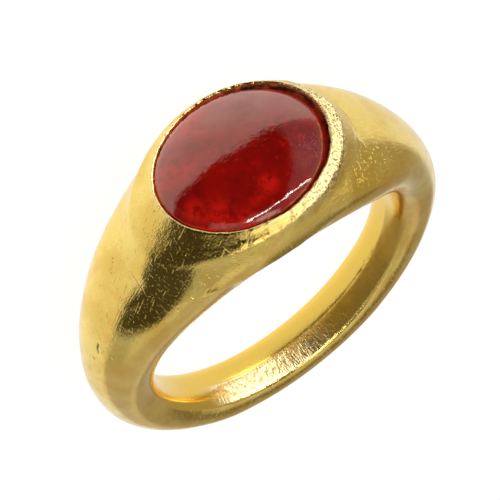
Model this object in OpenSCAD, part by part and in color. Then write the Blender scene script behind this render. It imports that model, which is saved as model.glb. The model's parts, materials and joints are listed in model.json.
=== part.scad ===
// Plain gold finger ring with an oval cabochon garnet in a raised bezel.
// Lengths are in millimetres. The ring is drawn in its own frame first: the finger hole runs along Z,
// and the stone faces -Y. It is then laid on its side, on the surface z = 0.

/* [Finger hole] */
// Inside diameter of the hoop
finger_d = 17; // [15:0.25:20]

/* [Hoop] */
// Thickness of every section, as a share of the drawn one
thickness_share = 1; // [0.9:0.05:1.1]
// Width of every section along the finger, as a share of the drawn one
width_share = 1; // [0.95:0.05:1.05]

/* [Stone] */
// Length of the garnet at its girdle, along the hoop
stone_length = 10.5; // [9.5:0.1:10.8]
// Width of the garnet at its girdle, along the finger
stone_width = 8.6; // [7.6:0.1:8.7]
// Height of the dome above the girdle
dome_height = 2.1; // [1.6:0.1:2.6]
// Depth of the straight part of the stone under the girdle
stone_skirt = 1; // [0.6:0.1:1.2]

/* [Bezel] */
// Height of the bezel's rim above the finger hole
rim_height = 4.3; // [4.1:0.05:4.5]
// Width of the rim at the two ends of the stone
rim_width = 0.65; // [0.55:0.05:0.85]
// Width of the rim along the two sides of the stone
side_rim_width = 0.4; // [0.35:0.05:0.5]
// How far the rim slopes down from its lip to its outer edge
rim_drop = 0.16; // [0.1:0.02:0.24]
// How far the bezel widens from its rim down to the shoulders
bezel_flare = 0.6; // [0.4:0.05:0.8]
// How far the rim's mouth leans in over the stone
lip_lean = 0.11; // [0.09:0.01:0.12]
// Gap between the stone and the gold
stone_gap = 0.06; // [0.04:0.01:0.07]
// How far the bezel sits off the middle of the hoop, towards -X
bezel_offset = 0.25; // [0:0.05:0.4]
// How far the bezel is turned from the line of the hoop, in degrees
bezel_turn = 1.5; // [0:0.5:3]

/* [Hidden] */

// The columns of the table of sections.
THICK = 0;  // thickness, measured out from the finger hole
HALF_W = 1; // half the width along the finger
OUTER = 2;  // squareness of the outer half: 0 is an ellipse, 1 a rectangle, and less than 0 more pointed
INNER = 3;  // squareness of the inner half, next to the finger
// A row every 30 degrees round the finger hole, from the stone towards +X.
SECTIONS = [
    [4.35, 4.90, 0.45, 0.60],  // 0, under the stone
    [4.05, 4.20, 0.35, 0.60],  // 30, the shoulder
    [3.75, 3.05, 0.15, 0.60],  // 60
    [3.35, 2.10, -0.10, 0.60], // 90, the side of the finger
    [2.80, 1.65, 0.10, 0.65],  // 120
    [2.50, 1.60, 0.30, 0.70],  // 150
    [2.35, 1.55, 0.40, 0.75],  // 180, the back
    [2.55, 1.60, 0.30, 0.70],  // 210
    [2.90, 1.65, 0.10, 0.65],  // 240
    [3.20, 2.10, -0.10, 0.60], // 270
    [3.75, 3.10, 0.15, 0.60],  // 300
    [4.10, 4.50, 0.35, 0.60],  // 330, the other shoulder
];
section_step = 360 / len(SECTIONS);
hoop_stations = 80;                      // sections of the hoop's mesh
section_points = 28;                     // points round each of them
bore_r = finger_d / 2;
wall_sink = 0.08;                        // the sections reach into the bore, which cuts them flat
bore_reach = 8;                          // half the length of the bore's cutter
bore_sides = 96;

rim_y = bore_r + rim_height;             // the rim's plane, from the finger hole's axis
girdle_y = rim_y - 0.6;                  // the stone's girdle lies under the rim's mouth
seat_y = girdle_y - stone_skirt;         // the flat floor that the stone stands on
girdle = [stone_length / 2, stone_width / 2];
bezel_middle = [-bezel_offset, -0.12];   // along the hoop and along the finger
mouth_depth = 0.2;                       // the leaning stretch of the rim's inside
lip_edge = 0.15;                         // width of the lip's flat crest
bezel_foot_y = bore_r + 2.05;            // the bezel's foot is sunk in the hoop down to here
foot_half_w = 4.75;                      // the foot's half width, which stays inside the hoop
dome_rings = 12;
stone_points = 64;
plate_h = 0.02;                          // thickness of the plates that the bezel is blended from
cut_over = 1;                            // how far a cutter passes the face that it opens
lean_steps = 24;

// One column of the table at any angle, smoothed between the rows.
function table_value(column, angle) =
    let (
        place = angle / section_step,
        first = floor(place),
        f = place - first,
        row = function (k) SECTIONS[(first + k + len(SECTIONS)) % len(SECTIONS)][column],
        slope_a = (row(1) - row(-1)) / 2,
        slope_b = (row(2) - row(0)) / 2,
        rise = row(1) - row(0)
    )
    row(0) + f * (slope_a + f * (3 * rise - 2 * slope_a - slope_b + f * (slope_a + slope_b - 2 * rise)));

// How far a rounded square's outline is from its middle, where an ellipse's is 1.
function outline(turn, square) = sqrt(2 / (1 + sqrt(1 - square * pow(sin(2 * turn), 2))));

// A smooth step from 0 to 1 as a value goes from -1 to 1.
function eased(value) = let (f = (value + 1) / 2) f * f * (3 - 2 * f);

// A point of the hoop's skin, at an angle round the finger hole and an angle round the section.
function hoop_point(angle, turn) =
    let (
        thick = table_value(THICK, angle) * thickness_share + wall_sink,
        half_w = table_value(HALF_W, angle) * width_share,
        share = eased(cos(turn)),
        square = table_value(OUTER, angle) * share + table_value(INNER, angle) * (1 - share),
        reach = outline(turn, square),
        r = bore_r - wall_sink + thick / 2 * (1 + reach * cos(turn))
    )
    [r * sin(angle), -r * cos(angle), half_w * reach * sin(turn)];

// Two sections straddle the stone's middle, so that the ring lies on a short edge and not on a point.
HOOP_POINTS = [
    for (i = [0 : hoop_stations - 1], k = [0 : section_points - 1])
        hoop_point((i + 0.5) * 360 / hoop_stations, k * 360 / section_points)
];

// The faces of a closed tube of rings.
function tube_faces(rings, sides) = [
    for (i = [0 : rings - 1], k = [0 : sides - 1])
        let (j = (i + 1) % rings, l = (k + 1) % sides)
        each [
            [i * sides + k, j * sides + l, j * sides + k],
            [i * sides + k, i * sides + l, j * sides + l],
        ]
];

// Laid on its side, the ring leans until its front and its back both touch the surface.
function height_at(p, lean) = p.z * cos(lean) - p.y * sin(lean);
function depth_at(p, lean) = p.y * cos(lean) + p.z * sin(lean);
FRONT_POINTS = [for (p = HOOP_POINTS) if (p.y < 0) p];
BACK_POINTS = [for (p = HOOP_POINTS) if (p.y > 0) p];
function lowest(points, lean) = min([for (p = points) height_at(p, lean)]);
function found_lean(low, high, steps) =
    let (middle = (low + high) / 2)
    steps == 0 ? middle
    : lowest(FRONT_POINTS, middle) < lowest(BACK_POINTS, middle) ? found_lean(middle, high, steps - 1)
    : found_lean(low, middle, steps - 1);
lean = found_lean(0, 30, lean_steps);
lift = -lowest(BACK_POINTS, lean);

// The finger hole stands over the origin by as much as centres the ring's box there.
reach_front = -girdle_y * cos(lean) - norm([dome_height * cos(lean), girdle.y * sin(lean)])
    + bezel_middle.y * sin(lean);
reach_back = max([for (p = BACK_POINTS) depth_at(p, lean)]);
reach_sides = [for (p = HOOP_POINTS) p.x];
hole_x = -(min(reach_sides) + max(reach_sides)) / 2;
hole_y = -(reach_front + reach_back) / 2;

// The ring's own frame, leaned and set down.
module laid_on_its_side() {
    translate([hole_x, hole_y, lift])
        rotate([-lean, 0, 0])
            children();
}

// Ovals are drawn in the stone's frame: length along X, and Z out from the finger.
module on_the_bezel(y) {
    translate([bezel_middle.x, -y, bezel_middle.y])
        rotate([90, -bezel_turn, 0])
            children();
}

module oval_plate(half_axes, thickness) {
    linear_extrude(thickness)
        scale(half_axes)
            circle(r = 1, $fn = stone_points);
}

// The half axes of an oval whose edge stands a given distance outside the girdle.
function outside(distance) = [girdle.x + distance, girdle.y + distance];

// The swelling hoop and its shoulders.
module hoop() {
    polyhedron(HOOP_POINTS, tube_faces(hoop_stations, section_points), convexity = 6);
}

// The raised bezel: a rim that slopes away from the lip, and a wall that widens into the shoulders.
module bezel() {
    rim = [girdle.x + rim_width, girdle.y + side_rim_width];
    hull() {
        on_the_bezel(rim_y - plate_h)
            oval_plate(outside(stone_gap - lip_lean + lip_edge), plate_h);
        on_the_bezel(rim_y - rim_drop)
            oval_plate(rim, plate_h);
        on_the_bezel(bezel_foot_y)
            oval_plate([rim.x + bezel_flare, foot_half_w], plate_h);
    }
}

// The stone's seat: a straight-sided oval pocket whose mouth leans in over the girdle.
module pocket() {
    on_the_bezel(seat_y)
        oval_plate(outside(stone_gap), rim_y - mouth_depth - seat_y);
    on_the_bezel(rim_y - mouth_depth - plate_h)
        oval_plate(outside(stone_gap - lip_lean), mouth_depth + plate_h + cut_over);
}

module hoop_and_bezel() {
    color("gold")
        laid_on_its_side()
            difference() {
                union() {
                    hoop();
                    bezel();
                }
                pocket();
                cylinder(r = bore_r, h = 2 * bore_reach, center = true, $fn = bore_sides);
            }
}

// One ring of the stone's skin, at a height over the girdle and a share of the girdle's half axes.
function stone_ring(height, share) = [
    for (k = [0 : stone_points - 1])
        let (a = k * 360 / stone_points)
        [girdle.x * share * cos(a), girdle.y * share * sin(a), height]
];

// The cabochon: a flat base, a straight skirt, and a dome that is half an ellipsoid.
module garnet() {
    rings = [
        [-stone_skirt, 1],
        for (i = [0 : dome_rings - 1])
            let (a = 90 * i / dome_rings)
            [dome_height * sin(a), cos(a)],
    ];
    points = [for (ring = rings) each stone_ring(ring[0], ring[1]), [0, 0, dome_height]];
    crown = len(points) - 1;
    last = crown - stone_points;
    base = [for (k = [0 : stone_points - 1]) k];
    sides = [
        for (i = [0 : len(rings) - 2], k = [0 : stone_points - 1])
            let (l = (k + 1) % stone_points, low = i * stone_points, high = low + stone_points)
            each [[low + k, high + k, high + l], [low + k, high + l, low + l]]
    ];
    cap = [for (k = [0 : stone_points - 1]) [last + k, crown, last + (k + 1) % stone_points]];
    color("darkred")
        laid_on_its_side()
            on_the_bezel(girdle_y)
                polyhedron(points, concat([base], sides, cap), convexity = 2);
}

hoop_and_bezel();
garnet();
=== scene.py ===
"""A plain gold finger ring with an oval cabochon garnet, lying on its side on a pale floor."""
import json
import math

import bpy
import numpy as np
from mathutils import Matrix, Vector


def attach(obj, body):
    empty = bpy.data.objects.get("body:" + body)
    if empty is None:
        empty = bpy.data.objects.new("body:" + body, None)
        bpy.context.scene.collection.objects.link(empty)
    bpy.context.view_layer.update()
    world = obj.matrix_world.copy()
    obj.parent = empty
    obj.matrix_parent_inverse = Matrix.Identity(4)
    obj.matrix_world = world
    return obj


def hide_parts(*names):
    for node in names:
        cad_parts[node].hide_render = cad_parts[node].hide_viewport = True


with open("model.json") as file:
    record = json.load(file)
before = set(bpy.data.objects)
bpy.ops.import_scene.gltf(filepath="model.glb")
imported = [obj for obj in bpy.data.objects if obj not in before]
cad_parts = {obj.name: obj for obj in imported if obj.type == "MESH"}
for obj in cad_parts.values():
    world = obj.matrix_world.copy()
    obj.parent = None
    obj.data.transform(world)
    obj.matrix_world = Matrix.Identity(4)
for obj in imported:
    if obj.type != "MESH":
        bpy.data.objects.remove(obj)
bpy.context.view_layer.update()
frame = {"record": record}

MM = 0.001
SEED = 7

# The ring's own frame
# The finger hole runs along Z, the stone faces -Y, and lengths are in millimetres.
HOLE = next(m for m in frame["record"]["mounts"] if m["name"] == "finger_hole")
HOLE_MIDDLE = np.array(HOLE["pos_m"]) / MM
BORE_R = HOLE["dims"]["r_mm"]
LEAN = math.atan2(HOLE["axis"][1], HOLE["axis"][2])


def to_row(points):
    """Points of the ring's own frame, leaned and set down where the CAD has them, in metres."""
    x, y, z = points[..., 0], points[..., 1], points[..., 2]
    leaned = np.stack([
        x,
        y * math.cos(LEAN) + z * math.sin(LEAN),
        -y * math.sin(LEAN) + z * math.cos(LEAN),
    ], -1)
    return (leaned + HOLE_MIDDLE) * MM


# Hoop
THICK, HALF_W, OUTER, INNER = range(4)
# A row every 30 degrees from the stone towards +X: thickness, half width, and how square the outer
# and the inner half of the section are, where 0 is an ellipse and 1 is a rectangle.
SECTIONS = np.array([
    [4.35, 4.90, 0.45, 0.60],
    [4.05, 4.20, 0.35, 0.60],
    [3.75, 3.05, 0.15, 0.60],
    [3.35, 2.10, -0.10, 0.60],
    [2.80, 1.65, 0.10, 0.65],
    [2.50, 1.60, 0.30, 0.70],
    [2.35, 1.55, 0.40, 0.75],
    [2.55, 1.60, 0.30, 0.70],
    [2.90, 1.65, 0.10, 0.65],
    [3.20, 2.10, -0.10, 0.60],
    [3.75, 3.10, 0.15, 0.60],
    [4.10, 4.50, 0.35, 0.60],
])

# Bezel
# In its frame X runs along the hoop and Z along the finger, heights are from the hole's middle, and
# a direction is an angle from +X towards +Z.
BEZEL_MIDDLE = np.array([-0.41, -0.20])
BEZEL_TURN = math.radians(1.5)
BEZEL_DEPTH = 2.3                         # the bezel's foot is sunk in the hoop down to here
RIM_H = BORE_R + 4.3                      # height of the lip's crest
LIP_RISE = 0.20                           # how much higher the crest stands on one side
LIP_RISE_WAY = math.radians(215)
LIP_ROUND = 0.17                          # radius of the lip's rounded edge
MOUTH = np.array([5.20, 4.25])            # half axes of the lip's inner edge
RIDGE = np.array([6.15, 4.72])            # half axes of the rim's outer edge
RIDGE_MIDDLE = np.array([0.35, 0.12])     # from the middle of the mouth
RIDGE_TURN = math.radians(-3)
RIDGE_ROUNDS = (0.12, 0.60)               # all round and at its softest, towards -X
RIM_SLOPES = (0.55, 1.15)                 # how steeply the rim falls away, at least and at most
STEEPEST_WAY = math.radians(20)
WALL_SLOPE = 0.40                         # how much the wall under the rim widens as it goes down
WALL_SPREAD = 0.35                        # how much of the wall's slope its near side has
FILLETS = (0.55, 1.9)                     # from the bezel to the hoop, at least and at the steepest rim
FOOT_SPREAD, FOOT_DROP = (0.7, 0.2), 1.7  # where the wall's rings end, from the ridge and the crest

# The pocket
# Each row of its wall is how far it stands outside the mouth, and how far under the crest.
POCKET_DEPTH = 1.6
POCKET_WALL = [(0.0, 0.25), (0.02, 0.4), (0.1, 0.6), (0.11, 0.9), (0.11, 1.3), (0.11, POCKET_DEPTH)]
UNEVEN_TOP = 0.5                          # rows less deep than this follow the crest's rise
FLOOR_SHARES = (0.8, 0.5, 0.2, 0.02)      # the floor's rings, as shares of the mouth

# Worn inner edge
# The near inner edge of the hoop is worn to a slope, from here along the finger and at this angle.
# It fades out between these angles from the back, towards +X and towards -X.
EDGE_START = 0.20
EDGE_UNEVEN = ((1.1, 0.05), (0.3, 0.035))  # how uneven its start is: the size of a noise and its depth
EDGE_SLOPE = math.radians(20.5)
EDGE_FADES = ((math.radians(24), math.radians(50)), (math.radians(62), math.radians(95)))
EDGE_LIFT = 0.3                           # how far the slope leaves the hoop's skin where it has faded
EDGE_ROUNDS = (0.10, 0.22)                # at the slope's start and along its outer edge
EDGE_ROUNDS_Z = (0.6, 1.2)                # where the first changes into the second

# Mesh
HOOP_STATIONS, SECTION_POINTS = 560, 108
PATCH_STATIONS, PATCH_POINTS = 77, 33     # half sizes of the patch round the bezel, in grid steps
LIP_RINGS, WALL_RINGS, SKIRT_RINGS = 12, 16, 26
LIP_TURNS = np.radians(np.linspace(15, 90, 7))
SKIN_REACH = (0.3, 2.2)                   # the skin is looked for here along each ray
SKIN_HALVINGS = 36
LEAST_HOOP_SLOPE, LEAST_OVAL_SLOPE = 0.15, 0.12

# Stone
GIRDLE = np.array([5.14, 4.25])           # half axes
GIRDLE_H = RIM_H - 0.48
STONE_SHIFT = np.array([0.11, 0.02])      # from the middle of the mouth
STONE_TILT = (0.08, -0.08)                # how much higher the girdle stands at +X and at +Z
STONE_BASE = [(-1.0, 0.97), (-0.96, 0.99), (-0.9, 1.0), (-0.5, 1.0)]  # heights and shares of the girdle
DOME = 1.98                               # height over the girdle
DOME_TURNS = np.radians(np.linspace(0, 88, 60))
STONE_SIDES = 192
STONE_HEART = 2.0                         # wear moves the stone's skin away from this far under the girdle

# Wear
# Each row is the size of a noise and its depth.
WEAR = ((3.4, 0.028), (1.3, 0.005), (0.55, 0.003))
CRUMPLE = ((1.0, 0.030), (0.45, 0.038), (0.22, 0.024))
LIP_WEAR = ((0.9, 0.03), (0.35, 0.026), (0.2, 0.016))
STONE_WEAR = ((2.6, 0.012), (1.0, 0.003))
LAYER_SHIFT = 17                          # sets the noises of different sizes apart
BORE_WEAR = 0.4                           # the share of the wear that the finger hole has
# Where a kind of wear starts and where it is whole: outside an oval, or under the lip's crest.
CRUMPLE_WAY = math.radians(150)
CRUMPLE_LEAST = 0.18                      # its share on the side away from there
CRUMPLE_WHOLE = 0.05
CRUMPLE_UNDER = (2.2, 1.4)
CRUMPLE_REACHES = {"shape": 0.45, "rim": 1.3, "rim_core": 0.4}
CREVICE_UNDER, CREVICE_OUTSIDE = (0.06, 0.26), (0.14, 0.08)
LIP_UNDER, LIP_OUTSIDE = (0.5, 0.25), (0.35, 0.12)
SMOOTH_UNDER, POCKET_OUTSIDE = (0.7, 0.35), 0.12
OVER_BORE = (1.0, 1.2)                    # heights over the finger hole, for what is at the stone alone
BORE_SKIN = (BORE_R + 0.35, BORE_R + 0.1)  # distances from the hole's axis
BEAD = (0.06, 0.09)                       # height and half width of the bead along the rim's near edge
BEAD_UNDER = (1.4, 1.0)

# Nicks
# Each row is the start and the end of a nick, its half width, its depth and how much darker its floor is
# coloured.
FIRST, LAST, HALF, DEPTH, DARKENING = range(5)
NICKS = [
    ((10.96, -5.32, 0.28), (11.18, -4.76, 0.45), 0.08, 0.07, 0.9),
    ((11.41, -4.14, 0.24), (11.43, -4.08, 0.26), 0.09, 0.05, 0.8),
    ((9.02, -8.34, 1.24), (8.38, -8.95, 1.63), 0.06, 0.03, 0.0),
    ((8.38, -8.95, 1.63), (7.86, -9.37, 2.04), 0.06, 0.035, 0.0),
    ((7.86, -9.37, 2.04), (7.49, -9.39, 2.77), 0.06, 0.02, 0.0),
    ((7.39, -9.98, 1.90), (7.50, -9.72, 2.19), 0.07, 0.05, 0.0),
    ((11.67, -3.12, -0.03), (11.70, -3.00, -0.03), 0.08, 0.04, 0.5),
    ((11.56, -3.27, 0.74), (11.58, -3.20, 0.78), 0.08, 0.04, 0.3),
    ((8.00, -9.37, -1.52), (8.54, -8.94, -0.96), 0.06, 0.02, 0.5),
    ((9.16, -8.25, -0.91), (9.20, -8.20, -0.90), 0.08, 0.03, 0.5),
    ((5.40, -10.07, 4.10), (4.94, -10.07, 4.30), 0.08, 0.06, 0.8),
    ((8.03, -9.20, 1.70), (7.62, -9.60, 2.10), 0.08, 0.04, 0.0),
    ((-7.60, -10.90, -1.30), (-7.95, -10.60, -1.05), 0.09, 0.04, 0.2),
    ((-9.90, 4.90, 2.20), (-10.10, 5.30, 2.05), 0.10, 0.04, 0.4),
    ((3.10, 10.30, -1.70), (3.60, 10.10, -1.60), 0.10, 0.04, 0.4),
]


class Noise:
    """Smooth gradient noise in three dimensions, the same on every run."""

    CELLS = 256
    GAIN = 1.6

    def __init__(self, seed):
        rng = np.random.default_rng(seed)
        self.order = np.tile(rng.permutation(self.CELLS), 2)
        slopes = rng.normal(size=(self.CELLS, 3))
        self.slopes = slopes / np.linalg.norm(slopes, axis=1, keepdims=True)

    def __call__(self, points, size):
        q = points / size
        cell = np.floor(q).astype(int)
        f = q - cell
        w = f * f * f * (f * (f * 6 - 15) + 10)
        height = np.zeros(points.shape[:-1])
        for corner in np.ndindex(2, 2, 2):
            c = (cell + corner) & (self.CELLS - 1)
            h = self.order[self.order[self.order[c[..., 0]] + c[..., 1]] + c[..., 2]]
            pull = (self.slopes[h] * (f - corner)).sum(-1)
            share = np.prod(np.where(np.array(corner) == 1, w, 1 - w), axis=-1)
            height += pull * share
        return height * self.GAIN


NOISE = Noise(SEED)


# Shapes
def step(value, start, end):
    """A smooth step from 0 to 1 as a value goes from start to end."""
    f = np.clip((value - start) / (end - start), 0, 1)
    return f * f * (3 - 2 * f)


def table_value(column, angle):
    """One column of the table of sections at any angle in radians, on a periodic cubic spline."""
    values = SECTIONS[:, column]
    n = len(values)
    solver = 4 * np.eye(n) + np.roll(np.eye(n), 1, 0) + np.roll(np.eye(n), -1, 0)
    bend = np.linalg.solve(solver, 6 * (np.roll(values, -1) - 2 * values + np.roll(values, 1)))
    place = np.asarray(angle) / (2 * math.pi) * n
    first = np.floor(place).astype(int)
    f = place - first
    a, b = first % n, (first + 1) % n
    g = 1 - f
    return g * values[a] + f * values[b] + ((g**3 - g) * bend[a] + (f**3 - f) * bend[b]) / 6


def section(angle):
    """Middle radius, half thickness and half width of the section at an angle."""
    half_t = table_value(THICK, angle) / 2
    return BORE_R + half_t, half_t, table_value(HALF_W, angle)


def hoop_angle(p):
    """How far round the finger hole points are, from the stone towards +X."""
    return np.arctan2(p[..., 0], -p[..., 1])


def hoop_radius(p):
    return np.hypot(p[..., 0], p[..., 1])


def hoop_distance(p):
    """Roughly how far points are outside the hoop."""
    angle = hoop_angle(p)
    mid, half_t, half_w = section(angle)
    u = (hoop_radius(p) - mid) / half_t
    v = p[..., 2] / half_w
    outer = step(u, -1, 1)
    k = table_value(INNER, angle) * (1 - outer) + table_value(OUTER, angle) * outer
    level = u * u + v * v - k * u * u * v * v - 1
    slope = np.hypot((2 * u - 2 * k * u * v * v) / half_t, (2 * v - 2 * k * u * u * v) / half_w)
    return level / np.maximum(slope, LEAST_HOOP_SLOPE)


def turned(x, z, angle):
    """A point turned by an angle, from +Z towards +X."""
    c, s = math.cos(angle), math.sin(angle)
    return x * c + z * s, z * c - x * s


def to_bezel(p):
    """Points in the bezel's frame: along the hoop, along the finger, and out from the finger."""
    x, z = turned(p[..., 0] - BEZEL_MIDDLE[0], p[..., 2] - BEZEL_MIDDLE[1], BEZEL_TURN)
    return x, z, -p[..., 1]


def from_bezel(x, z, height):
    x, z = turned(x, z, -BEZEL_TURN)
    return np.stack([BEZEL_MIDDLE[0] + x, -height, BEZEL_MIDDLE[1] + z], -1)


def oval_distance(x, z, axes):
    """Roughly how far points are outside an oval with those half axes."""
    a, b = axes
    level = (x / a) ** 2 + (z / b) ** 2 - 1
    slope = 2 * np.hypot(x / a**2, z / b**2)
    return level / np.maximum(slope, LEAST_OVAL_SLOPE)


def round_max(a, b, size):
    """The larger of two values, rounded where they are nearly the same."""
    h = np.maximum(size - np.abs(a - b), 0) / size
    return np.maximum(a, b) + h**3 * size / 6


def round_min(a, b, size):
    return -round_max(-a, -b, size)


def to_ridge(x, z):
    """From the mouth's frame to the frame of the rim's outer edge."""
    return turned(x - RIDGE_MIDDLE[0], z - RIDGE_MIDDLE[1], RIDGE_TURN)


def ridge_oval(way, grow):
    """Points of the rim's outer edge, or of an oval outside it, in the mouth's frame."""
    x, z = turned((RIDGE[0] + grow[0]) * np.cos(way), (RIDGE[1] + grow[1]) * np.sin(way), -RIDGE_TURN)
    return RIDGE_MIDDLE[0] + x, RIDGE_MIDDLE[1] + z


def mouth_oval(way, grow=0.0, share=1.0):
    """Points of the lip's inner edge, or of an oval outside or inside it."""
    return (MOUTH[0] + grow) * share * np.cos(way), (MOUTH[1] + grow) * share * np.sin(way)


def toward(x, z, way):
    """A share from 0 to 1: how nearly points lie in a direction from the middle of the mouth."""
    return (1 + np.cos(np.arctan2(z, x) - way)) / 2


def between(pair, share):
    """A value between two, by a share."""
    return pair[0] + (pair[1] - pair[0]) * share


def crest_height(x, z):
    return RIM_H + LIP_RISE * toward(x, z, LIP_RISE_WAY) ** 2


def rim_drop(x, z):
    """How far the rim lies under its lip."""
    slope = between(RIM_SLOPES, toward(x, z, STEEPEST_WAY))
    return slope * np.maximum(oval_distance(x, z, MOUTH) - LIP_ROUND, 0)


def bezel_distance(p):
    """Roughly how far points are outside the bezel."""
    x, z, height = to_bezel(p)
    below = crest_height(x, z) - height
    spread = WALL_SLOPE * below
    near_spread = WALL_SPREAD * toward(x, z, math.pi / 2) * spread
    wall = oval_distance(*to_ridge(x, z), (RIDGE[0] + spread, RIDGE[1] + near_spread))
    top = rim_drop(x, z) - below
    size = between(RIDGE_ROUNDS, toward(x, z, math.pi) ** 3)
    shell = round_max(wall, top / math.hypot(1, RIM_SLOPES[0]), size)
    return np.maximum(shell, below - BEZEL_DEPTH)


def worn_edge_distance(p):
    """How far points are on the open side of the slope that the hoop's inner edge is worn to."""
    angle = hoop_angle(p)
    from_back = math.pi - np.abs(angle)
    faded = np.where(angle > 0, step(from_back, *EDGE_FADES[0]), step(from_back, *EDGE_FADES[1]))
    start = EDGE_START + sum(depth * NOISE(p, size) for size, depth in EDGE_UNEVEN)
    cone = BORE_R + (p[..., 2] - start) * math.tan(EDGE_SLOPE)
    return (cone - hoop_radius(p)) * math.cos(EDGE_SLOPE) - EDGE_LIFT * faded


def body_distance(p):
    """Roughly how far points are outside the gold body, before its pocket is open."""
    x, z, _ = to_bezel(p)
    fillet = between(FILLETS, toward(x, z, STEEPEST_WAY) ** 4)
    size = between(EDGE_ROUNDS, step(p[..., 2], *EDGE_ROUNDS_Z))
    whole = round_min(hoop_distance(p), bezel_distance(p), fillet)
    return round_max(whole, worn_edge_distance(p), size)


def ray_point(angle, turn, reach):
    """A point on the ray that leaves the middle of a section, in units of the section's half sizes."""
    mid, half_t, half_w = section(angle)
    r = mid + reach * half_t * np.cos(turn)
    return np.stack([r * np.sin(angle), -r * np.cos(angle), reach * half_w * np.sin(turn)], -1)


def skin(angle, turn):
    """Where each ray leaves the body."""
    low, high = (np.full(angle.shape, reach) for reach in SKIN_REACH)
    for _ in range(SKIN_HALVINGS):
        middle = (low + high) / 2
        out = body_distance(ray_point(angle, turn, middle)) > 0
        high = np.where(out, middle, high)
        low = np.where(out, low, middle)
    return ray_point(angle, turn, (low + high) / 2)


def rays_to(points):
    """The angle and turn of the rays that pass through points."""
    angle = hoop_angle(points)
    mid, half_t, half_w = section(angle)
    return angle, np.arctan2(points[..., 2] / half_w, (hoop_radius(points) - mid) / half_t)


def strips(rows):
    """Quads between neighbouring rows of vertex numbers, each row a closed loop."""
    return np.concatenate([
        np.stack([a, np.roll(a, -1), np.roll(b, -1), b], -1) for a, b in zip(rows, rows[1:])
    ])


def patch_border():
    """The border of the grid's patch round the bezel, all the way round, as stations and points."""
    w, h = 2 * PATCH_STATIONS, 2 * PATCH_POINTS
    return np.array(
        [(a, 0) for a in range(w)] + [(w, b) for b in range(h)]
        + [(a, h) for a in range(w, 0, -1)] + [(0, b) for b in range(h, 0, -1)]
    )


def bezel_rings(way, border):
    """Rings of points on the skin, from the patch's border in to the lip's crest."""
    x, z = mouth_oval(way, LIP_ROUND)
    lip = rays_to(from_bezel(x, z, crest_height(x, z)))
    x, z = ridge_oval(way, (0, 0))
    ridge = rays_to(from_bezel(x, z, crest_height(x, z) - rim_drop(x, z)))
    foot = rays_to(from_bezel(*ridge_oval(way, FOOT_SPREAD), np.full(len(way), RIM_H - FOOT_DROP)))
    rings = []
    for start, end, count in (
        (foot, border, SKIRT_RINGS),
        (ridge, foot, WALL_RINGS),
        (lip, ridge, LIP_RINGS),
    ):
        for ring in range(count - 1, -1, -1):
            f = ring / count
            rings.append(skin(*(start[c] * (1 - f) + end[c] * f for c in (0, 1))))
    return rings


def pocket_rings(way, crest):
    """Rings over the lip's rounded edge, down the pocket's wall, and in over its floor."""
    _, _, crest_h = to_bezel(crest)
    level_h = np.full(len(way), RIM_H)
    lip_edge = [(LIP_ROUND * (1 - math.sin(a)), LIP_ROUND * (1 - math.cos(a))) for a in LIP_TURNS]
    rings = []
    for grow, drop in lip_edge + POCKET_WALL:
        top = crest_h if drop < UNEVEN_TOP else level_h
        rings.append(from_bezel(*mouth_oval(way, grow), top - drop))
    for share in FLOOR_SHARES:
        rings.append(from_bezel(*mouth_oval(way, 0.0, share), level_h - POCKET_DEPTH))
    return rings


def build_body():
    """The gold body's vertices and quads: a grid round the hoop, and rings in its patch at the bezel."""
    step_a, step_t = 2 * math.pi / HOOP_STATIONS, 2 * math.pi / SECTION_POINTS
    grid = np.arange(HOOP_STATIONS * SECTION_POINTS).reshape(HOOP_STATIONS, SECTION_POINTS)
    i, k = np.meshgrid(np.arange(HOOP_STATIONS), np.arange(SECTION_POINTS), indexing="ij")
    hoop = skin((i - PATCH_STATIONS) * step_a, (k - PATCH_POINTS) * step_t).reshape(-1, 3)
    inside = (i < 2 * PATCH_STATIONS) & (k < 2 * PATCH_POINTS)
    right, up = np.roll(grid, -1, 0), np.roll(grid, -1, 1)
    hoop_quads = np.stack([grid, right, np.roll(right, -1, 1), up], -1)[~inside]

    at = patch_border()
    border = ((at[:, 0] - PATCH_STATIONS) * step_a, (at[:, 1] - PATCH_POINTS) * step_t)
    way = np.arctan2(border[1] / (PATCH_POINTS * step_t), border[0] / (PATCH_STATIONS * step_a))
    rings = bezel_rings(way, border)
    rings += pocket_rings(way, rings[-1])
    numbers = grid.size + np.arange(len(rings) * len(way)).reshape(len(rings), len(way))
    bezel_quads = strips([grid[at[:, 0], at[:, 1]], *numbers])
    return np.concatenate([hoop, *rings]), np.concatenate([hoop_quads, bezel_quads])


def build_stone():
    """The cabochon's vertices and faces: a flat base, a straight skirt and a dome."""
    way = np.arange(STONE_SIDES) * 2 * math.pi / STONE_SIDES
    rings = []
    for rise, share in STONE_BASE + [(DOME * math.sin(a), math.cos(a)) for a in DOME_TURNS]:
        c, s = share * np.cos(way), share * np.sin(way)
        height = GIRDLE_H + rise + STONE_TILT[0] * c + STONE_TILT[1] * s
        rings.append(from_bezel(STONE_SHIFT[0] + GIRDLE[0] * c, STONE_SHIFT[1] + GIRDLE[1] * s, height))
    points = np.concatenate(rings)
    out = points - from_bezel(0.0, 0.0, GIRDLE_H - STONE_HEART)
    out /= np.linalg.norm(out, axis=1, keepdims=True)
    points += out * layers(points, STONE_WEAR)[:, None]
    loops = np.arange(len(points)).reshape(-1, STONE_SIDES)
    return points, strips(loops).tolist() + [loops[0].tolist()[::-1], loops[-1].tolist()]


# Wear on the shapes
def layers(points, rows):
    """A sum of noises, each with a size and a depth in millimetres."""
    return sum(depth * NOISE(points + LAYER_SHIFT * size, size) for size, depth in rows)


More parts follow.
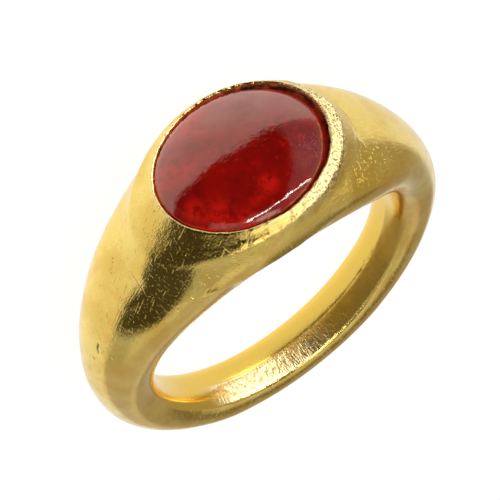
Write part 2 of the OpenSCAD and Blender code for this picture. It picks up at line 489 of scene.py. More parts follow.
def crumpled(points, reach):
    """A share from 0 to 1: how much the rim's hammered stretch, and a border round it, covers points."""
    x, z, height = to_bezel(points)
    past_ridge = oval_distance(*to_ridge(x, z), RIDGE)
    on_top = step(crest_height(x, z) - height, *CRUMPLE_UNDER)
    side_share = between((CRUMPLE_LEAST, 1.0), toward(x, z, CRUMPLE_WAY) ** 2)
    return step(past_ridge, reach, CRUMPLE_WHOLE) * on_top * side_share


def in_crevice(points):
    """A share from 0 to 1: how deep points are in the crevice between the lip and the stone."""
    x, z, height = to_bezel(points)
    under = step(crest_height(x, z) - height, *CREVICE_UNDER)
    inside = step(oval_distance(x, z, MOUTH), *CREVICE_OUTSIDE)
    return under * inside * step(height - BORE_R, *OVER_BORE)


def on_lip(points):
    """A share from 0 to 1: how near points are to the lip's crest."""
    x, z, height = to_bezel(points)
    on_top = step(crest_height(x, z) - height, *LIP_UNDER)
    return step(np.abs(oval_distance(x, z, MOUTH)), *LIP_OUTSIDE) * on_top


def in_nick(points, nick):
    """A share from 0 to 1: how deep points are in a nick."""
    start, end = np.array(nick[FIRST]), np.array(nick[LAST])
    along = np.clip((points - start) @ (end - start) / ((end - start) @ (end - start)), 0, 1)
    away = np.linalg.norm(points - start - along[:, None] * (end - start), axis=1)
    return np.exp(-((away / nick[HALF]) ** 2))


def worn(points, normals):
    """The skin as hand work and wear have left it. The pocket, which the stone fills, stays smooth."""
    x, z, height = to_bezel(points)
    below = crest_height(x, z) - height
    in_pocket = (oval_distance(x, z, MOUTH) < POCKET_OUTSIDE) & (height > BORE_R + OVER_BORE[0])
    free = np.where(in_pocket, step(below, *SMOOTH_UNDER), 1.0)
    in_bore = step(hoop_radius(points), *BORE_SKIN)
    depth = layers(points, WEAR) * (1 - (1 - BORE_WEAR) * in_bore)
    depth += layers(points, CRUMPLE) * crumpled(points, CRUMPLE_REACHES["shape"])
    depth += layers(points, LIP_WEAR) * on_lip(points)
    bead = BEAD[0] * np.exp(-((oval_distance(*to_ridge(x, z), RIDGE) / BEAD[1]) ** 2))
    depth += bead * step(below, *BEAD_UNDER) * toward(x, z, CRUMPLE_WAY) ** 2
    for nick in NICKS:
        depth -= nick[DEPTH] * in_nick(points, nick)
    return points + normals * (depth * free)[:, None]


# Meshes
def used_only(points, quads):
    """Drops the vertices that no quad uses."""
    used = np.unique(quads)
    renumber = np.full(len(points), -1)
    renumber[used] = np.arange(len(used))
    return points[used], renumber[quads]


def normals_of(points, quads):
    a, b, c, d = (points[quads[:, j]] for j in range(4))
    face = np.cross(c - a, d - b)
    out = np.zeros_like(points)
    for j in range(4):
        np.add.at(out, quads[:, j], face)
    return out / np.maximum(np.linalg.norm(out, axis=1, keepdims=True), 1e-12)


def volume_of(points, quads):
    a, b, c, d = (points[quads[:, j]] for j in range(4))
    halves = np.einsum("ij,ij->i", a, np.cross(b, c)) + np.einsum("ij,ij->i", a, np.cross(c, d))
    return halves.sum() / 6


def make_object(name, points, faces, material):
    mesh = bpy.data.meshes.new(name)
    mesh.from_pydata(points.tolist(), [], [list(map(int, f)) for f in faces])
    mesh.validate()
    mesh.shade_smooth()
    obj = bpy.data.objects.new(name, mesh)
    bpy.context.scene.collection.objects.link(obj)
    mesh.materials.append(material)
    return obj


# Shader nodes
def socket_value(tree, socket, value):
    """Links a node's output to a socket, or sets a plain value on it."""
    if isinstance(value, bpy.types.NodeSocket):
        tree.links.new(value, socket)
    else:
        socket.default_value = value


def calc(tree, operation, *values):
    """One Math node, and its output."""
    node = tree.nodes.new("ShaderNodeMath")
    node.operation = operation
    for socket, value in zip(node.inputs, values):
        socket_value(tree, socket, value)
    return node.outputs[0]


def chained(tree, operation, values):
    """Several values put together by one operation, from first to last."""
    out = values[0]
    for value in values[1:]:
        out = calc(tree, operation, out, value)
    return out


def total(tree, *values):
    return chained(tree, "ADD", values)


def times(tree, *values):
    return chained(tree, "MULTIPLY", values)


def largest(tree, *values):
    return chained(tree, "MAXIMUM", values)


def eased(tree, value, start, end, low=0.0, high=1.0):
    """A smooth step from low to high as a value goes from start to end."""
    node = tree.nodes.new("ShaderNodeMapRange")
    node.interpolation_type = "SMOOTHSTEP"
    names = ("Value", "From Min", "From Max", "To Min", "To Max")
    for name, v in zip(names, (value, start, end, low, high)):
        socket_value(tree, node.inputs[name], v)
    return node.outputs[0]


def blend(tree, share, a, b):
    """A colour between two, by a share."""
    node = tree.nodes.new("ShaderNodeMix")
    node.data_type = "RGBA"
    socket_value(tree, node.inputs[0], share)
    socket_value(tree, node.inputs[6], a)
    socket_value(tree, node.inputs[7], b)
    return node.outputs[2]


def parts_of(tree, vector):
    """The three parts of a vector."""
    node = tree.nodes.new("ShaderNodeSeparateXYZ")
    tree.links.new(vector, node.inputs[0])
    return tuple(node.outputs)


def attribute(tree, name):
    """A value that the mesh holds at each of its vertices."""
    node = tree.nodes.new("ShaderNodeAttribute")
    node.attribute_name = name
    return node.outputs["Fac"]


def mapped(tree, vector, scale, turn=(0, 0, 0)):
    node = tree.nodes.new("ShaderNodeMapping")
    tree.links.new(vector, node.inputs["Vector"])
    node.inputs["Rotation"].default_value = turn
    node.inputs["Scale"].default_value = scale
    return node.outputs[0]


def ring_place(tree):
    """Where a point is in the ring's own frame, in millimetres."""
    scaled = tree.nodes.new("ShaderNodeVectorMath")
    scaled.operation = "SCALE"
    tree.links.new(tree.nodes.new("ShaderNodeTexCoord").outputs["Object"], scaled.inputs[0])
    scaled.inputs["Scale"].default_value = 1 / MM
    moved = tree.nodes.new("ShaderNodeVectorMath")
    moved.operation = "SUBTRACT"
    tree.links.new(scaled.outputs[0], moved.inputs[0])
    moved.inputs[1].default_value = tuple(HOLE_MIDDLE)
    return mapped(tree, moved.outputs[0], (1, 1, 1), (LEAN, 0, 0))


def noise(tree, vector, scale, detail=2.0, rough=0.5):
    """A noise with so many features to a millimetre."""
    node = tree.nodes.new("ShaderNodeTexNoise")
    tree.links.new(vector, node.inputs["Vector"])
    node.inputs["Scale"].default_value = scale
    node.inputs["Detail"].default_value = detail
    node.inputs["Roughness"].default_value = rough
    return node.outputs[0]


def blob(tree, vector, middle, size):
    """1 at a point, fading to 0 at a distance from it."""
    node = tree.nodes.new("ShaderNodeVectorMath")
    node.operation = "DISTANCE"
    tree.links.new(vector, node.inputs[0])
    node.inputs[1].default_value = middle
    return eased(tree, node.outputs["Value"], size, 0.0)


def bumped(tree, shader, height, depth):
    """Raises a surface by a height of 1 to a depth in millimetres."""
    node = tree.nodes.new("ShaderNodeBump")
    tree.links.new(height, node.inputs["Height"])
    node.inputs["Strength"].default_value = 1
    node.inputs["Distance"].default_value = depth * MM
    tree.links.new(node.outputs[0], shader.inputs["Normal"])


def new_material(name):
    material = bpy.data.materials.new(name)
    material.use_nodes = True
    return material, material.node_tree, material.node_tree.nodes["Principled BSDF"]


# Gold
# Colours
GOLD = (0.95, 0.70, 0.19, 1)
GOLD_DEEP = (0.86, 0.58, 0.13, 1)
GOLD_RED = (0.86, 0.45, 0.12, 1)
# Painted reflection: a deeper, more orange gold in the finger hole, standing in for light bounced between
# its gold walls.
GOLD_BORE_BOUNCE = (0.91, 0.60, 0.105, 1)
# Painted shade: a darker, deeper gold on the filed slope, standing in for the dark reflections on it.
GOLD_FILED_SHADE = (0.68, 0.47, 0.10, 1)
# Painted highlight: a paler, whiter gold where the lamp's highlight falls on the filed slope and on the
# rim's hammered stretch.
GOLD_PAINTED_HIGHLIGHT = (0.96, 0.79, 0.42, 1)
# Painted shade: near black in the low spots of the rim's hammered stretch.
GOLD_PIT_SHADE = (0.16, 0.09, 0.025, 1)
# Painted highlight: a pale cream gold along the lip's crest.
GOLD_LIP_HIGHLIGHT = (0.98, 0.79, 0.38, 1)
# A darker colour in the nicks.
NICK_DARK = (0.10, 0.055, 0.015, 1)
# The crevice's fill: a red deposit that also stands in for the stone's red mirrored in the gold, dark
# blotches that are deposit and painted shade, and a painted glow on the red.
GRIME_AND_MIRRORED_RED = (0.60, 0.085, 0.03, 1)
GRIME_AND_SHADE_DARK = (0.05, 0.025, 0.012, 1)
CREVICE_PAINTED_GLOW = (0.15, 0.018, 0.006, 1)    # painted glow on the crevice's red, standing in for red light from the stone
BLACK = (0, 0, 0, 1)
# How much of its colour each of these takes at most.
# Of these shares, the finger hole's is a painted reflection, the rim's and the lip's are painted
# highlights, and the pits' is painted shade.
STAINED, REDDENED, BORE_BOUNCE_SHARE, RIM_HIGHLIGHT, LIP_HIGHLIGHT, PIT_SHADE = 0.45, 0.55, 0.9, 0.7, 0.6, 0.85
# Each row is a red stain's middle in the ring's own frame and its size.
STAINS = [
    ((8.88, -8.59, 0.74), 0.40),
    ((9.47, -7.89, 0.72), 0.45),
    ((10.02, -7.05, 0.72), 0.50),
    ((10.52, -6.15, 0.74), 0.45),
]
# Noises: features to a millimetre, how many finer layers they have, and how strong those are.
CLOUD, STAIN, GRAIN = (0.55, 3), (0.4, 4, 0.6), (7.0, 3, 0.6)
CRUMBS, BLOTCHES, SMEARS, FLECKS = (8.5, 3, 0.65), (1.3, 2), (1.6, 3), (8.0, 1)
# The noises of marks that run one way take a place that is turned and scaled first.
STREAKS, STROKES, TURNINGS = (1.0, 1), (1.0, 2), (1.0, 2)
# The values of the noises between which each of them fades in.
CLOUD_EDGES, STAIN_EDGES, CRUMB_EDGES = (0.35, 0.68), (0.56, 0.72), (0.50, 0.40)
BLOTCH_EDGES, FLECK_EDGES = (0.46, 0.56), (0.64, 0.72)
# Where the crevice's deposit and painted shade fade in by the grain noise, and their least share.
CREVICE_FILL_EDGES, CREVICE_FILL_LEAST = (0.60, 0.42), 0.55
# Places, each as where it fades in along X, Y, Z or the distance from the finger hole's axis.
BORE_TINTED = (BORE_R + 0.52, BORE_R + 0.40)
FILED_X, FILED_Y, FILED_Z = (6.0, 4.0), (0.0, 2.0), (0.10, 0.30)
POLISHED_AND_HIGHLIT_X = (-3.8, -1.4)                # from here the filed slope is smoother, and paler as a painted highlight
STROKES_X = (-8.0, -6.4)
SHOULDER_X, SHOULDER_Y = (-3.5, -6.0), (-1.0, -5.0)
# Shares of the mesh's own values between which each fades in.
CORE_SHARES, NICK_DARK_SHARES = (0.50, 0.88), (0.10, 0.55)
# Each row of scratches: how they are turned, how fine they are, and how rare.
SCRATCHES = [
    ((0, 1.43, -0.25), (0.5, 8.0, 8.0), 0.665),
    ((0, 0.28, -0.78), (0.7, 8.5, 8.5), 0.675),
    ((0, -0.39, 0.78), (1.1, 9.5, 9.5), 0.675),
    ((0, 1.93, -0.52), (0.6, 9.5, 9.5), 0.665),
]
SCRATCH_EDGE = 0.10
SHOULDER_CALM = 0.65                      # how much the scratches fade on the shoulder at -X
STROKE_SCALE, STROKE_TURN = (8, 8, 1.3), (0.25, 0, 0)
STROKES_ELSEWHERE = 0.03
TURNING_SCALE = (4.0, 7.0, 7.0)           # round the hoop, out from its axis, and along the finger
PITS_PER_MM, PIT_SIZES, PIT_CHANCES = 1.1, (0.13, 0.03), (0.72, 0.80)
# Heights of the relief in units of RELIEF millimetres.
RELIEF = 0.010
GRAIN_H, RIM_GRAIN_H, RIM_CRUMB_H, TURNING_H = 0.60, 3.0, 5.5, 0.6
SCRATCH_H, STROKE_H, PIT_H, FLECK_H = -0.8, 4.2, -1.6, -0.8
# What each of these adds to the roughness.
LEAST_ROUGH, SMEAR_ROUGH, SCRATCH_ROUGH = 0.07, 0.12, 0.10
BORE_ROUGH, FILED_ROUGH, UNBURNISHED_ROUGH = 0.06, 0.08, 0.14


def scratched(tree, place):
    """Thin scratches in several directions."""
    marks = []
    for turn, scale, rare in SCRATCHES:
        along = mapped(tree, mapped(tree, place, (1, 1, 1), turn), scale)
        marks.append(eased(tree, noise(tree, along, *STREAKS), rare, rare + SCRATCH_EDGE))
    return largest(tree, *marks)


def scattered_pits(tree, place):
    """Small round pits, few and far between."""
    cells = tree.nodes.new("ShaderNodeTexVoronoi")
    tree.links.new(place, cells.inputs["Vector"])
    cells.inputs["Scale"].default_value = PITS_PER_MM
    chance = tree.nodes.new("ShaderNodeSeparateColor")
    tree.links.new(cells.outputs["Color"], chance.inputs[0])
    small = eased(tree, cells.outputs["Distance"], *PIT_SIZES)
    return times(tree, small, eased(tree, chance.outputs[0], *PIT_CHANCES))


def axis_distance(tree, x, y):
    """How far a point is from the finger hole's axis."""
    return calc(tree, "SQRT", total(tree, times(tree, x, x), times(tree, y, y)))


def turning_marks(tree, place):
    """Fine marks that run round the hoop."""
    x, y, z = parts_of(tree, place)
    arc = calc(tree, "ARCTAN2", x, times(tree, y, -1.0))
    polar = tree.nodes.new("ShaderNodeCombineXYZ")
    values = (calc(tree, "COSINE", arc), axis_distance(tree, x, y), z)
    for socket, value, scale in zip(polar.inputs, values, TURNING_SCALE):
        tree.links.new(times(tree, value, scale), socket)
    return noise(tree, polar.outputs[0], *TURNINGS)


def gold_zones(tree, place):
    """Shares from 0 to 1 of the parts of the body where the gold looks different."""
    x, y, z = parts_of(tree, place)
    bore = eased(tree, axis_distance(tree, x, y), *BORE_TINTED)
    back = times(tree, eased(tree, z, *FILED_Z), eased(tree, x, *FILED_X), eased(tree, y, *FILED_Y))
    filed = times(tree, bore, back)
    return {
        "bore": bore,
        "filed": filed,
        # the polished part of the filed slope, which also carries a painted highlight
        "polished_and_highlit": times(tree, filed, eased(tree, x, *POLISHED_AND_HIGHLIT_X)),
        "stroked": largest(tree, times(tree, filed, eased(tree, x, *STROKES_X)), STROKES_ELSEWHERE),
        "shoulder": times(tree, eased(tree, x, *SHOULDER_X), eased(tree, y, *SHOULDER_Y)),
        "rim": attribute(tree, "rim"),
        "rim_core": eased(tree, attribute(tree, "rim_core"), *CORE_SHARES),
    }


def gold_colour(tree, place, zones, crumbs):
    """Clouded and stained gold, with painted light: a deeper tint in the finger hole for light bounced
    between the gold walls, painted shade on the filed slope and in the rim's pits, and paler painted
    highlights where the filed slope is polished, on the rim and on the lip; darker in nicks.
    """
    clouds = eased(tree, noise(tree, place, *CLOUD), *CLOUD_EDGES)
    colour = blend(tree, clouds, GOLD, GOLD_DEEP)
    stained = eased(tree, noise(tree, place, *STAIN), *STAIN_EDGES)
    colour = blend(tree, times(tree, stained, STAINED), colour, GOLD_RED)
    for middle, size in STAINS:
        reddened = times(tree, blob(tree, place, middle, size), REDDENED)
        colour = blend(tree, reddened, colour, GOLD_RED)
    # painted highlight on the polished part of the filed slope and on the rim
    bright = largest(tree, zones["polished_and_highlit"], times(tree, zones["rim_core"], RIM_HIGHLIGHT))
    # painted shade in the low spots of the rim's hammered stretch
    pit_shade = times(tree, zones["rim_core"], eased(tree, crumbs, *CRUMB_EDGES, 0.0, PIT_SHADE))
    for share, other in (
        # painted reflection: light bounced between the finger hole's gold walls
        (times(tree, zones["bore"], BORE_BOUNCE_SHARE), GOLD_BORE_BOUNCE),
        # painted shade on the filed slope
        (zones["filed"], GOLD_FILED_SHADE),
        (bright, GOLD_PAINTED_HIGHLIGHT),
        (pit_shade, GOLD_PIT_SHADE),
        # painted highlight on the lip's crest
        (times(tree, attribute(tree, "lip"), LIP_HIGHLIGHT), GOLD_LIP_HIGHLIGHT),
        # darker in the nicks
        (eased(tree, attribute(tree, "nick_dark"), *NICK_DARK_SHARES), NICK_DARK),
    ):
        colour = blend(tree, share, colour, other)
    return colour


def colour_crevice_fill(tree, shader, place, colour, grain):
    """Colours the gold, and fills its crevice with a red and dark deposit that is partly painted light:
    the red also stands in for the stone's red mirrored in the gold and carries a painted glow, and the
    dark blotches also stand in for shade.
    """
    # deposit and painted shade in the crevice
    crevice_fill = times(tree, attribute(tree, "crevice"), eased(tree, grain, *CREVICE_FILL_EDGES, CREVICE_FILL_LEAST))
    blotches = noise(tree, place, *BLOTCHES)
    crevice_colour = blend(tree, eased(tree, blotches, *BLOTCH_EDGES), GRIME_AND_MIRRORED_RED, GRIME_AND_SHADE_DARK)
    tree.links.new(blend(tree, crevice_fill, colour, crevice_colour), shader.inputs["Base Color"])
    tree.links.new(eased(tree, crevice_fill, 0.0, 1.0, 1.0, 0.0), shader.inputs["Metallic"])
    # painted glow where the crevice is red
    painted_crevice_glow = times(tree, crevice_fill, eased(tree, blotches, *BLOTCH_EDGES[::-1]))
    tree.links.new(blend(tree, painted_crevice_glow, BLACK, CREVICE_PAINTED_GLOW), shader.inputs["Emission Color"])
    shader.inputs["Emission Strength"].default_value = 1


def gold_marks(tree, place, zones):
    """The scratches of the outside, which are fainter on the shoulder at -X."""
    unmarked = largest(tree, zones["bore"], times(tree, zones["shoulder"], SHOULDER_CALM))
    return times(tree, scratched(tree, place), calc(tree, "SUBTRACT", 1.0, unmarked))


def gold_relief(tree, place, zones, grain, crumbs, marks):
    """The height of the gold's fine relief, in units of RELIEF millimetres."""
    strokes = noise(tree, mapped(tree, place, STROKE_SCALE, STROKE_TURN), *STROKES)
    turning_h = calc(tree, "SUBTRACT", TURNING_H, times(tree, zones["bore"], TURNING_H))
    flecks = eased(tree, noise(tree, place, *FLECKS), *FLECK_EDGES)
    return total(
        tree,
        times(tree, grain, calc(tree, "MULTIPLY_ADD", zones["rim"], RIM_GRAIN_H, GRAIN_H)),
        times(tree, crumbs, zones["rim"], RIM_CRUMB_H),
        times(tree, turning_marks(tree, place), turning_h),
        times(tree, marks, SCRATCH_H),
        times(tree, strokes, zones["stroked"], STROKE_H),
        times(tree, scattered_pits(tree, place), PIT_H),
        times(tree, zones["shoulder"], flecks, FLECK_H),
    )


def gold_material():
    """Old gold: clouded and stained in colour, scratched outside, filed inside, with painted highlights
    and painted shade, and a red deposit in its crevice that carries painted shade and a painted glow.
    """
    material, tree, shader = new_material("gold")
    place = ring_place(tree)
    zones = gold_zones(tree, place)
    grain = noise(tree, place, *GRAIN)
    crumbs = noise(tree, place, *CRUMBS)
    marks = gold_marks(tree, place, zones)
    colour_crevice_fill(tree, shader, place, gold_colour(tree, place, zones, crumbs), grain)
    bumped(tree, shader, gold_relief(tree, place, zones, grain, crumbs, marks), RELIEF)
    rough = total(
        tree,
        times(tree, noise(tree, place, *SMEARS), SMEAR_ROUGH),
        times(tree, marks, SCRATCH_ROUGH),
        times(tree, zones["bore"], BORE_ROUGH),
        times(tree, zones["filed"], FILED_ROUGH),
        times(tree, calc(tree, "SUBTRACT", zones["filed"], zones["polished_and_highlit"]), UNBURNISHED_ROUGH),
        LEAST_ROUGH,
    )
    tree.links.new(rough, shader.inputs["Roughness"])
    return material


# Garnet
GARNET = (0.48, 0.002, 0.001, 1)
GARNET_DEEP = (0.32, 0.001, 0.001, 1)
# Painted glows: a brighter red that stands in for light coming back out of the stone.
GARNET_GLOW = (0.90, 0.010, 0.006, 1)
# Painted reflection: a greyish pink that stands in for the pale room mirrored on the dome.
GARNET_MILKY_SHEEN = (0.50, 0.16, 0.13, 1)
# Painted shade: a darker red on the stone's edge under the lip.
GARNET_EDGE_SHADE = (0.22, 0.015, 0.006, 1)
GARNET_SPECK = (0.75, 0.50, 0.50, 1)
GARNET_SHEEN = (1.0, 0.86, 0.70, 1)       # the tint of what the stone mirrors
GARNET_SELF_GLOW = 0.10                       # a painted glow, as a share of the stone's colour, standing in for light that comes through it
GARNET_IOR = 1.77
GARNET_GLOSS = 0.78
GARNET_ROUGH = (0.02, 0.08)
GARNET_RELIEF = 0.012
# Each row is the middle of a painted glow or of a painted milky reflection in the ring's own frame, its
# size and how strong it is.
GLOWS = [
    ((-0.3, -13.8, 2.6), 0.9, 1.6),
    ((0.7, -13.6, 3.0), 0.8, 0.9),
    ((3.0, -13.4, 2.4), 1.7, 1.3),
    ((3.8, -13.4, 1.2), 1.1, 1.3),
    ((1.9, -13.2, 3.3), 1.3, 0.9),
    ((2.8, -13.9, -0.9), 1.3, 0.6),
    ((4.1, -13.4, -1.2), 1.2, 0.5),
    ((0.7, -14.0, -2.4), 1.1, 0.5),
    ((1.2, -13.5, -3.4), 2.3, 0.70),
    ((3.4, -13.4, -1.6), 2.2, 0.60),
]
MILKY_SHEENS = [
    ((-2.6, -13.8, -2.2), 2.8, 0.95),
    ((-0.4, -14.0, -2.6), 2.0, 0.60),
    ((-4.3, -13.5, -0.6), 1.7, 0.75),
    ((2.2, -13.6, -3.0), 2.0, 0.35),
    ((-2.9, -13.5, 2.6), 1.2, 0.25),
]
CLOUDS_IN, WISPS_IN, SPECKS_IN = (0.55, 4, 0.55), (1.9, 4, 0.65), (19.0, 3, 0.65)
# The values of those noises between which each look fades in, and its least or greatest share.
DEPTH_EDGES, GLOW_EDGES = (0.36, 0.64), (0.30, 0.60)
WISP_EDGES, WISP_MOST = (0.52, 0.74), 0.5
# Where the painted milky reflection fades in by the clouds noise, and its least share.
MILKY_SHEEN_EDGES, MILKY_SHEEN_LEAST = (0.30, 0.60), 0.5
EDGE_SHADE_H = (RIM_H - 0.05, RIM_H - 0.25)  # heights between which the painted shade on the stone's edge under the lip fades in
DUSTY = ((-3.6, -13.3, 2.0), 2.4)         # the specks are denser round this point
SPECK_FROM, DUSTY_FROM, SPECK_EDGE = 0.75, -0.185, 0.08
# The polish: its noises, how the scuffs are scaled and turned, and the heights and edges of each.
SWELLS, RIPPLES, SCUFFS = (1.4, 3), (5.0, 2), (1.0, 3)
SCUFF_SCALE, SCUFF_TURN = (0.8, 5, 5), (0.4, 0.9, 0.3)
SWELL_H, RIPPLE_H, SCUFF_H = 1.0, 0.5, -0.12
SCUFF_EDGES, SCUFF_ROUGH_EDGES = (0.60, 0.72), (0.35, 0.75)


def garnet_colour(tree, place):
    """Deep red with painted glows and painted milky reflections, painted shade on its edge under the lip,
    and fine pale specks.
    """
    _, y, _ = parts_of(tree, place)
    clouds = noise(tree, place, *CLOUDS_IN)
    wisps = noise(tree, place, *WISPS_IN)
    colour = blend(tree, eased(tree, clouds, *DEPTH_EDGES), GARNET_DEEP, GARNET)
    glow = eased(tree, wisps, *WISP_EDGES, 0.0, WISP_MOST)
    # painted glows
    for middle, size, strength in GLOWS:
        one = times(tree, blob(tree, place, middle, size), strength, eased(tree, wisps, *GLOW_EDGES))
        glow = largest(tree, glow, one)
    colour = blend(tree, glow, colour, GARNET_GLOW)
    # painted reflection: milky patches where the dome mirrors the pale room
    for middle, size, strength in MILKY_SHEENS:
        milky_sheen = times(tree, blob(tree, place, middle, size), strength)
        milky_sheen = times(tree, milky_sheen, eased(tree, clouds, *MILKY_SHEEN_EDGES, MILKY_SHEEN_LEAST))
        colour = blend(tree, milky_sheen, colour, GARNET_MILKY_SHEEN)
    # painted shade on the stone's edge, under the lip
    colour = blend(tree, eased(tree, times(tree, y, -1.0), *EDGE_SHADE_H), colour, GARNET_EDGE_SHADE)
    speck_from = calc(tree, "MULTIPLY_ADD", blob(tree, place, *DUSTY), DUSTY_FROM, SPECK_FROM)
    speck_to = total(tree, speck_from, SPECK_EDGE)
    specks = eased(tree, noise(tree, place, *SPECKS_IN), speck_from, speck_to)
    return blend(tree, specks, colour, GARNET_SPECK)


def garnet_material():
    """A glossy stone with a faint painted glow, standing in for the little light that comes through it,
    and a scuffed polish.
    """
    material, tree, shader = new_material("garnet")
    place = ring_place(tree)
    colour = garnet_colour(tree, place)
    tree.links.new(colour, shader.inputs["Base Color"])
    # painted glow: the stone's colour shines a little of its own
    tree.links.new(colour, shader.inputs["Emission Color"])
    shader.inputs["Emission Strength"].default_value = GARNET_SELF_GLOW
    shader.inputs["IOR"].default_value = GARNET_IOR
    shader.inputs["Specular IOR Level"].default_value = GARNET_GLOSS
    shader.inputs["Specular Tint"].default_value = GARNET_SHEEN

    scuffs = noise(tree, mapped(tree, place, SCUFF_SCALE, SCUFF_TURN), *SCUFFS)
    rough = eased(tree, scuffs, *SCUFF_ROUGH_EDGES, *GARNET_ROUGH)
    tree.links.new(rough, shader.inputs["Roughness"])
    height = total(
        tree,
        times(tree, noise(tree, place, *SWELLS), SWELL_H),
        times(tree, noise(tree, place, *RIPPLES), RIPPLE_H),
        times(tree, eased(tree, scuffs, *SCUFF_EDGES), SCUFF_H),
    )
    bumped(tree, shader, height, GARNET_RELIEF)
    return material


# The gold body
body_points, body_quads = used_only(*build_body())
if volume_of(body_points, body_quads) < 0:
    body_quads = body_quads[:, ::-1]
body_points = worn(body_points, normals_of(body_points, body_quads))
body = make_object("gold_body", to_row(body_points), body_quads, gold_material())
shares = {
    "rim": crumpled(body_points, CRUMPLE_REACHES["rim"]),
    "rim_core": crumpled(body_points, CRUMPLE_REACHES["rim_core"]),
    "crevice": in_crevice(body_points),
    "lip": on_lip(body_points),
    "nick_dark": np.max([nick[DARKENING] * in_nick(body_points, nick) for nick in NICKS], axis=0),
}
for name, share in shares.items():
    body.data.attributes.new(name, "FLOAT", "POINT").data.foreach_set("value", share)
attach(body, "root")
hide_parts("hoop_and_bezel")

# The stone
stone_points, stone_faces = build_stone()
stone = make_object("garnet_cabochon", to_row(stone_points), stone_faces, garnet_material())
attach(stone, "root")
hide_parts("garnet")

# Camera
FRAME_PIXELS = 500
SENSOR = 36                               # width in millimetres
CLIP = (0.01, 20)                         # metres
CAMERA_AZ, CAMERA_EL, CAMERA_ROLL = map(math.radians, (13.9, 27.11, 139.06))
CAMERA_D = 300.0                          # from the hole's middle, in millimetres
PIXELS_PER_MM = 17.512
PHOTO_MIDDLE = (263.2, 278.2)             # where the hole's middle stands in the frame


def way_to(azimuth, elevation):
    """A direction, where azimuth 0 is -Y and 90 degrees is +X."""
    flat = math.cos(elevation)
    return np.array([math.sin(azimuth) * flat, -math.cos(azimuth) * flat, math.sin(elevation)])


def unit(v):
    return v / np.linalg.norm(v)


def make_camera():
    """The photograph's camera, placed and turned in the ring's own frame."""
    outward = way_to(CAMERA_AZ, CAMERA_EL)
    side = unit(np.cross([0, 0, 1], outward))
    rise = np.cross(outward, side)
    c, s = math.cos(CAMERA_ROLL), math.sin(CAMERA_ROLL)
    right, up = c * side + s * rise, c * rise - s * side
    eye = outward * CAMERA_D
    off_x, off_y = ((pixel - FRAME_PIXELS / 2) / PIXELS_PER_MM for pixel in PHOTO_MIDDLE)
    back = unit(eye - (up * off_y - right * off_x))
    right = unit(right - back * (right @ back))
    axes = (right, np.cross(back, right), back)
    matrix = np.eye(4)
    for column, axis in enumerate(axes):
        matrix[:3, column] = unit(to_row(axis) - to_row(np.zeros(3)))
    matrix[:3, 3] = to_row(eye)
    data = bpy.data.cameras.new("camera")
    data.sensor_width = SENSOR
    data.lens = PIXELS_PER_MM * CAMERA_D / FRAME_PIXELS * SENSOR
    data.clip_start, data.clip_end = CLIP
    camera = bpy.data.objects.new("camera", data)
    bpy.context.scene.collection.objects.link(camera)
    camera.matrix_world = Matrix(matrix.tolist())
    bpy.context.scene.camera = camera


make_camera()

# Floor
FLOOR_GLOW = 0.95                         # the share of the floor's white that shadows don't dim
FLOOR_PAINT = 0.12
FLOOR_HALF = 3.0                          # metres


def make_floor():
    """A white floor that shadows dim a little, and that the ring doesn't mirror."""
    material, _, shader = new_material("floor")
    shader.inputs["Base Color"].default_value = (FLOOR_PAINT, FLOOR_PAINT, FLOOR_PAINT, 1)
    shader.inputs["Roughness"].default_value = 1
    shader.inputs["Emission Color"].default_value = (1, 1, 1, 1)
    shader.inputs["Emission Strength"].default_value = FLOOR_GLOW
    mesh = bpy.data.meshes.new("floor")
    corners = [(FLOOR_HALF * x, FLOOR_HALF * y, 0) for x, y in ((-1, -1), (1, -1), (1, 1), (-1, 1))]
    mesh.from_pydata(corners, [], [(0, 1, 2, 3)])
    mesh.materials.append(material)
    obj = bpy.data.objects.new("floor", mesh)
    bpy.context.scene.collection.objects.link(obj)
    obj.visible_glossy = obj.visible_diffuse = obj.visible_shadow = False
    return obj


floor = make_floor()

# Studio light
# Each card is a soft-edged patch of the room: its sides and its lower and upper edge in degrees,
# where azimuth 0 is -Y and 90 is +X, the softness of its edge, and its colour.
AZ_FROM, AZ_TO, EL_FROM, EL_TO, SOFT, COLOUR = range(6)
CARDS = [
    (-180, -138, -8, 18, 6, (0.38, 0.34, 0.28, 1)),
    (-180, -138, 18, 34, 6, (0.21, 0.185, 0.15, 1)),
    (-180, -138, 36, 48, 5, (0.60, 0.59, 0.58, 1)),
    (102, 126, 8, 44, 6, (0.60, 0.58, 0.55, 1)),
    (-138, -80, -15, 62, 5, (0.40, 0.37, 0.29, 1)),
    (-79, -37, -15, 60, 6, (0.30, 0.24, 0.27, 1)),
    (-38, 58, -15, 62, 5, (0.034, 0.026, 0.019, 1)),
    (57, 100, -15, 33, 5, (0.058, 0.054, 0.046, 1)),
    (126, 172, -15, 40, 6, (0.50, 0.465, 0.48, 1)),
    (172, 184, -15, 40, 6, (0.58, 0.54, 0.52, 1)),
    (130, 235, 48, 62, 5, (0.72, 0.72, 0.72, 1)),
    (-181, 181, 64, 91, 5, (0.20, 0.20, 0.20, 1)),
    (-181, 181, 79, 91, 5, (1.80, 1.80, 1.80, 1)),
]
ROOM = (0.46, 0.46, 0.46, 1)
WHITE = (1, 1, 1, 1)
# The table lies under the room, and is brighter right under the ring.
TABLE = (0.88, 0.88, 0.88, 1)
TABLE_NEAR = (1.05, 1.05, 1.05, 1)
TABLE_NEAR_EL = (-28, -60)
TABLE_EDGE = (-18.0, -12.0)
# A thin bright strip: its elevation falls from one end to the other as azimuth goes along STRIP_TURN.
STRIP_EL = (70.0, 42.0)
STRIP_TURN = (0.0, -108.0)
STRIP_HALF = 1.7                          # half its width
STRIP_CORE = STRIP_HALF / 3               # half the width that is fully bright
STRIP_AZ = (-98.0, 66.0)                  # its ends
STRIP_FADE = 15                           # how long it fades at each end
STRIP_LIGHT = (15.0, 15.0, 15.6, 1)


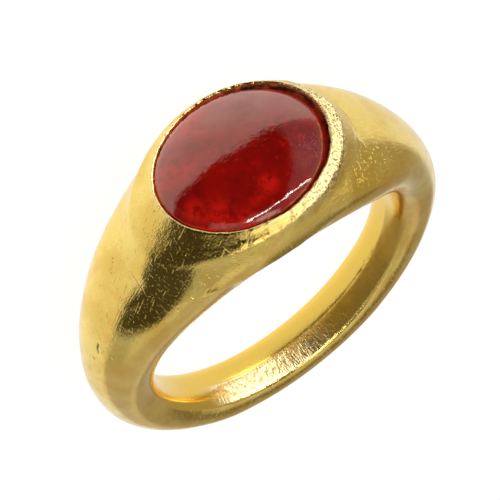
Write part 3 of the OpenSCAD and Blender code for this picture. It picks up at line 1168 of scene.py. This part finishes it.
def degrees_off(tree, azimuth, middle):
    """How many degrees of azimuth lie between a direction and the middle of a card."""
    off = calc(tree, "SUBTRACT", azimuth, middle)
    return calc(tree, "ABSOLUTE", calc(tree, "WRAP", off, 180.0, -180.0))


def card_share(tree, azimuth, elevation, card):
    """A share from 0 to 1: how much a card covers a direction."""
    middle, half = (card[AZ_FROM] + card[AZ_TO]) / 2, (card[AZ_TO] - card[AZ_FROM]) / 2
    edge = card[SOFT] / 2
    return times(
        tree,
        eased(tree, degrees_off(tree, azimuth, middle), half + edge, half - edge),
        eased(tree, elevation, card[EL_FROM] - edge, card[EL_FROM] + edge),
        eased(tree, elevation, card[EL_TO] + edge, card[EL_TO] - edge),
    )


def strip_share(tree, azimuth, elevation):
    """A share from 0 to 1: how much the strip covers a direction."""
    middle, half = sum(STRIP_AZ) / 2, (STRIP_AZ[1] - STRIP_AZ[0]) / 2
    strip_el = eased(tree, azimuth, *STRIP_TURN, *STRIP_EL)
    off_strip = calc(tree, "ABSOLUTE", calc(tree, "SUBTRACT", elevation, strip_el))
    return times(
        tree,
        eased(tree, off_strip, STRIP_HALF, STRIP_CORE),
        eased(tree, degrees_off(tree, azimuth, middle), half, half - STRIP_FADE),
    )


def make_world():
    """The studio that the ring mirrors, which the camera itself sees as white."""
    world = bpy.data.worlds.new("studio")
    world.use_nodes = True
    tree = world.node_tree
    x, y, z = parts_of(tree, tree.nodes.new("ShaderNodeTexCoord").outputs["Generated"])
    azimuth = calc(tree, "DEGREES", calc(tree, "ARCTAN2", x, times(tree, y, -1.0)))
    elevation = calc(tree, "DEGREES", calc(tree, "ARCSINE", z))
    table = blend(tree, eased(tree, elevation, *TABLE_NEAR_EL), TABLE, TABLE_NEAR)
    light = blend(tree, eased(tree, elevation, *TABLE_EDGE), table, ROOM)
    for card in CARDS:
        light = blend(tree, card_share(tree, azimuth, elevation, card), light, card[COLOUR])
    light = blend(tree, strip_share(tree, azimuth, elevation), light, STRIP_LIGHT)
    seen = tree.nodes.new("ShaderNodeLightPath").outputs["Is Camera Ray"]
    tree.links.new(blend(tree, seen, light, WHITE), tree.nodes["Background"].inputs[0])
    bpy.context.scene.world = world


make_world()
bpy.context.scene.view_settings.view_transform = "Standard"

# Lamp
LAMP_AZ, LAMP_EL = math.radians(-46), math.radians(20)
LAMP_D = 0.4                              # metres
LAMP_SIZE = (0.40, 0.56)
LAMP_POWER = 1.7


def make_lamp(lit_object):
    """A soft lamp that lights one object alone."""
    data = bpy.data.lights.new("lamp", "AREA")
    data.shape = "RECTANGLE"
    data.size, data.size_y = LAMP_SIZE
    data.energy = LAMP_POWER
    lamp = bpy.data.objects.new("lamp", data)
    way = Vector(way_to(LAMP_AZ, LAMP_EL))
    lamp.location = way * LAMP_D
    lamp.rotation_euler = way.to_track_quat("Z", "Y").to_euler()
    bpy.context.scene.collection.objects.link(lamp)
    lit = bpy.data.collections.new("lit_by_lamp")
    lit.objects.link(lit_object)
    lamp.light_linking.receiver_collection = lit


make_lamp(body)
